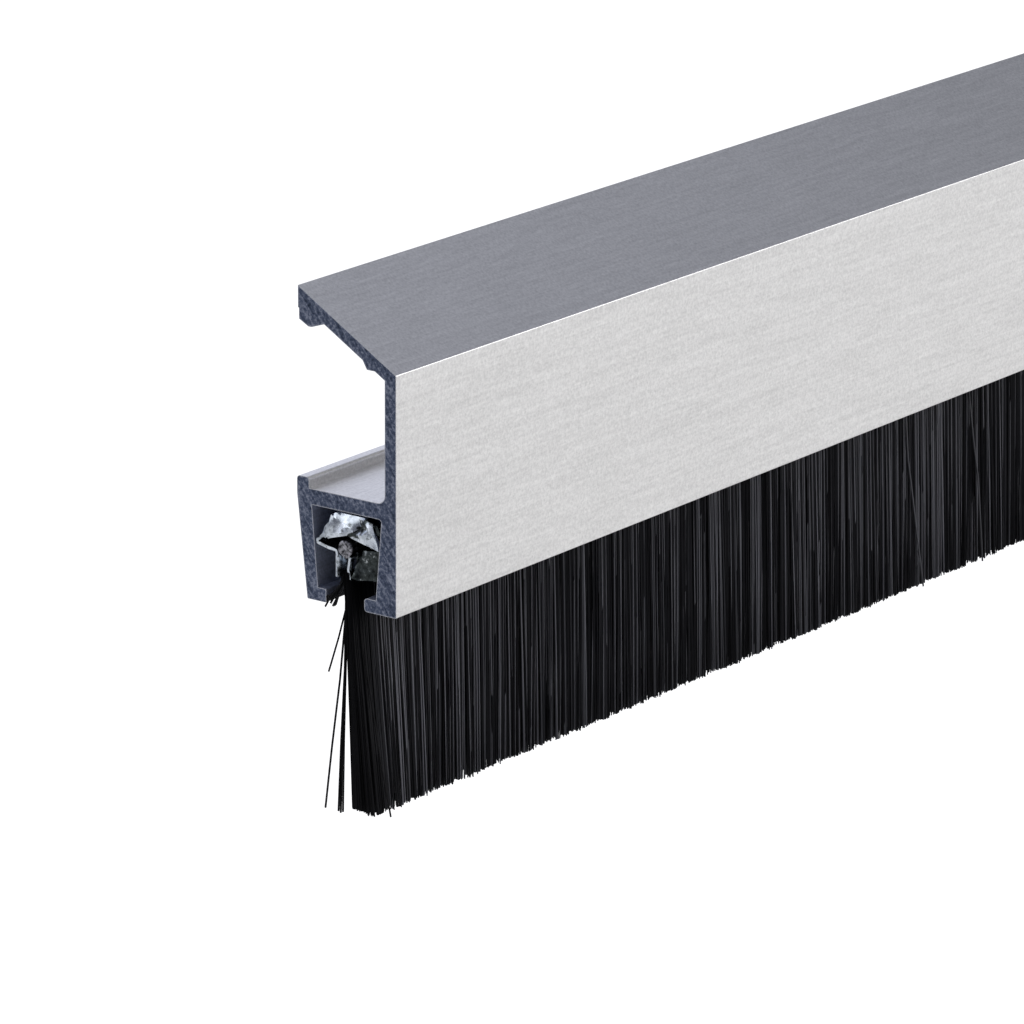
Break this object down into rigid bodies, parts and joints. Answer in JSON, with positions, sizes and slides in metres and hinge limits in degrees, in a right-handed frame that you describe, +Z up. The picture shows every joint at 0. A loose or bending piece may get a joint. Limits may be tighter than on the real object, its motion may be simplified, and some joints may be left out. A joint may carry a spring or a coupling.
{
  "type": "brush door sweep",
  "caption": "Aluminium strip with a sloping top, open clip-on back and a black bristle brush held in a slot along its lower edge, fixed to a door's foot to shed rain and stop draughts.",
  "frame": {"origin": "on the door plane, at mid length, in the middle of the narrow upright back pad beside the shelf", "axes": "+X along the door's lower edge, +Y into the door, +Z up"},
  "size_m": [1, 0.015, 0.0652],
  "materials": {
    "anodised_aluminium": "satin anodised in natural silver, with fine lengthwise grain and sawn ends",
    "galvanised_steel": "bright zinc-coated sheet",
    "wire_steel": "drawn steel wire",
    "black_bristle": "black extruded filament with a slight sheen"
  },
  "bodies": {
    "root": {"aluminium_profile": "anodised_aluminium", "brush_channel": "galvanised_steel", "core_wire": "wire_steel", "bristles": "black_bristle"}
  },
  "joints": []
}
